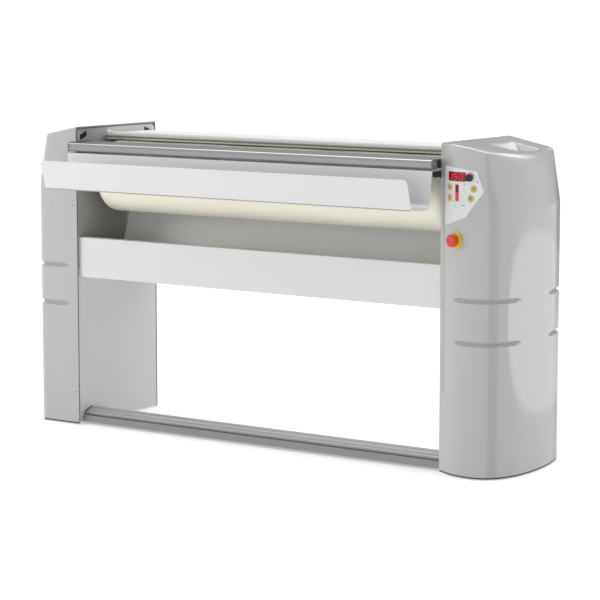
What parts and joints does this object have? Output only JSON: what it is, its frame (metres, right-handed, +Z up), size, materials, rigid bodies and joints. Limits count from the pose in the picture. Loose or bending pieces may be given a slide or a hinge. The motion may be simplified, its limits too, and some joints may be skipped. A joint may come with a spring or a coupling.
{
  "type": "flatwork ironer",
  "caption": "Roll-type flatwork ironer: padded roller and heated chest between two columns, with feed trough, finger guard, return tray and foot pedal bar.",
  "frame": {"origin": "middle of the bounding box at floor level", "axes": "+X to the operator's right along the roller, +Y to the back, +Z up"},
  "size_m": [1.918, 0.664, 1.058],
  "materials": {
    "column_shell": "smooth gloss light grey",
    "side_steel": "satin grey",
    "white_sheet": "satin white",
    "grey_sheet": "satin light grey",
    "aluminium": "brushed and anodised",
    "polished_chest": "polished",
    "roller_cloth": "felted cream cloth",
    "steel": "machined",
    "zinc": "zinc plated",
    "cast_grey": "painted casting",
    "motor_paint": "dark machine paint",
    "lagging": "mineral wool",
    "black_plastic": "moulded black",
    "rubber_foot": "black",
    "overlay_film": "satin film",
    "display_red": "dark red window",
    "key_yellow": "yellow",
    "stop_yellow": "yellow",
    "stop_red": "red",
    "lamp_amber": "amber lens"
  },
  "bodies": {
    "frame": {"right_column_cover": "column_shell", "left_column_cover": "column_shell", "right_side_plate": "side_steel", "left_side_plate": "side_steel", "vent_grilles": "black_plastic", "base_trays": "side_steel", "levelling_feet": "rubber_foot", "roller_bearings": "cast_grey", "bearing_bolts": "zinc", "gearbox_bracket": "side_steel", "gearbox": "cast_grey", "drive_motor": "motor_paint", "chest_pivots": "steel", "pedal_pivots": "steel", "rod_guides": "cast_grey", "foot_channel": "aluminium", "tie_beam": "side_steel", "guard_blocks": "black_plastic", "trough_brackets": "black_plastic", "feed_trough": "white_sheet", "front_panel": "white_sheet", "return_slide": "grey_sheet", "rear_hood": "grey_sheet", "back_panel": "grey_sheet", "hood_clips": "zinc", "sheet_rails": "side_steel", "control_box": "side_steel", "control_box_lid": "side_steel", "cable_gland": "black_plastic", "control_overlay": "overlay_film", "display_window": "display_red", "level_window": "display_red", "signal_lamp": "lamp_amber", "stop_base": "stop_yellow", "cover_screws": "zinc"},
    "roller": {"roller_padding": "roller_cloth", "roller_tube": "steel", "roller_end_discs": "steel", "roller_shafts": "steel"},
    "chest": {"chest": "polished_chest", "chest_heaters": "steel", "chest_lagging": "lagging", "chest_jacket": "grey_sheet", "chest_arms": "cast_grey"},
    "pedal": {"pedal_tread": "aluminium", "pedal_end_caps": "black_plastic", "pedal_shaft": "steel", "pedal_arms": "side_steel"},
    "push_rods": {"push_rods": "steel"},
    "guard": {"guard_bar": "aluminium", "guard_end_caps": "cast_grey", "guard_screws": "zinc"},
    "stop_button": {"stop_button": "stop_red"},
    "speed_knob": {"speed_knob": "black_plastic"},
    "key_plus": {"key_plus": "key_yellow"},
    "key_minus": {"key_minus": "key_yellow"},
    "key_start": {"key_start": "key_yellow"},
    "key_stop": {"key_stop": "key_yellow"}
  },
  "joints": [
    {"name": "roller_spin", "type": "hinge", "parent": "frame", "child": "roller", "pos_m": [0, 0.03497, 0.88], "axis": [1, 0, 0], "continuous": true},
    {"name": "pedal_press", "type": "hinge", "parent": "frame", "child": "pedal", "pos_m": [0, 0.10197, 0.068], "axis": [1, 0, 0], "range_deg": [0, 2.21]},
    {"name": "rod_lift", "type": "slide", "parent": "frame", "child": "push_rods", "axis": [0, 0, 1], "range_m": [0, 0.0045]},
    {"name": "chest_close", "type": "hinge", "parent": "frame", "child": "chest", "pos_m": [0, 0.10697, 0.648], "axis": [1, 0, 0], "range_deg": [0, 2.3]},
    {"name": "guard_tilt", "type": "hinge", "parent": "frame", "child": "guard", "pos_m": [0, -0.14203, 0.993], "axis": [-1, 0, 0], "range_deg": [0, 12]},
    {"name": "speed_turn", "type": "hinge", "parent": "frame", "child": "speed_knob", "pos_m": [0.841, -0.17522, 0.955], "axis": [0.0055, -1, 0], "range_deg": [-135, 135]},
    {"name": "stop_press", "type": "slide", "parent": "frame", "child": "stop_button", "axis": [0.2784, 0.9605, 0], "range_m": [0, 0.006], "stiffness_N_per_m": 800},
    {"name": "key_plus_press", "type": "slide", "parent": "frame", "child": "key_plus", "axis": [0.4378, 0.8991, 0], "range_m": [0, 0.001], "stiffness_N_per_m": 600},
    {"name": "key_minus_press", "type": "slide", "parent": "frame", "child": "key_minus", "axis": [0.4378, 0.8991, 0], "range_m": [0, 0.001], "stiffness_N_per_m": 600},
    {"name": "key_start_press", "type": "slide", "parent": "frame", "child": "key_start", "axis": [-0.0924, 0.9957, 0], "range_m": [0, 0.001], "stiffness_N_per_m": 600},
    {"name": "key_stop_press", "type": "slide", "parent": "frame", "child": "key_stop", "axis": [-0.0241, 0.9997, 0], "range_m": [0, 0.001], "stiffness_N_per_m": 600}
  ],
  "couplings": [
    {"joint": "rod_lift", "follows": "chest_close", "m_per_rad": 0.11},
    {"joint": "pedal_press", "follows": "chest_close", "ratio": 0.9566}
  ]
}
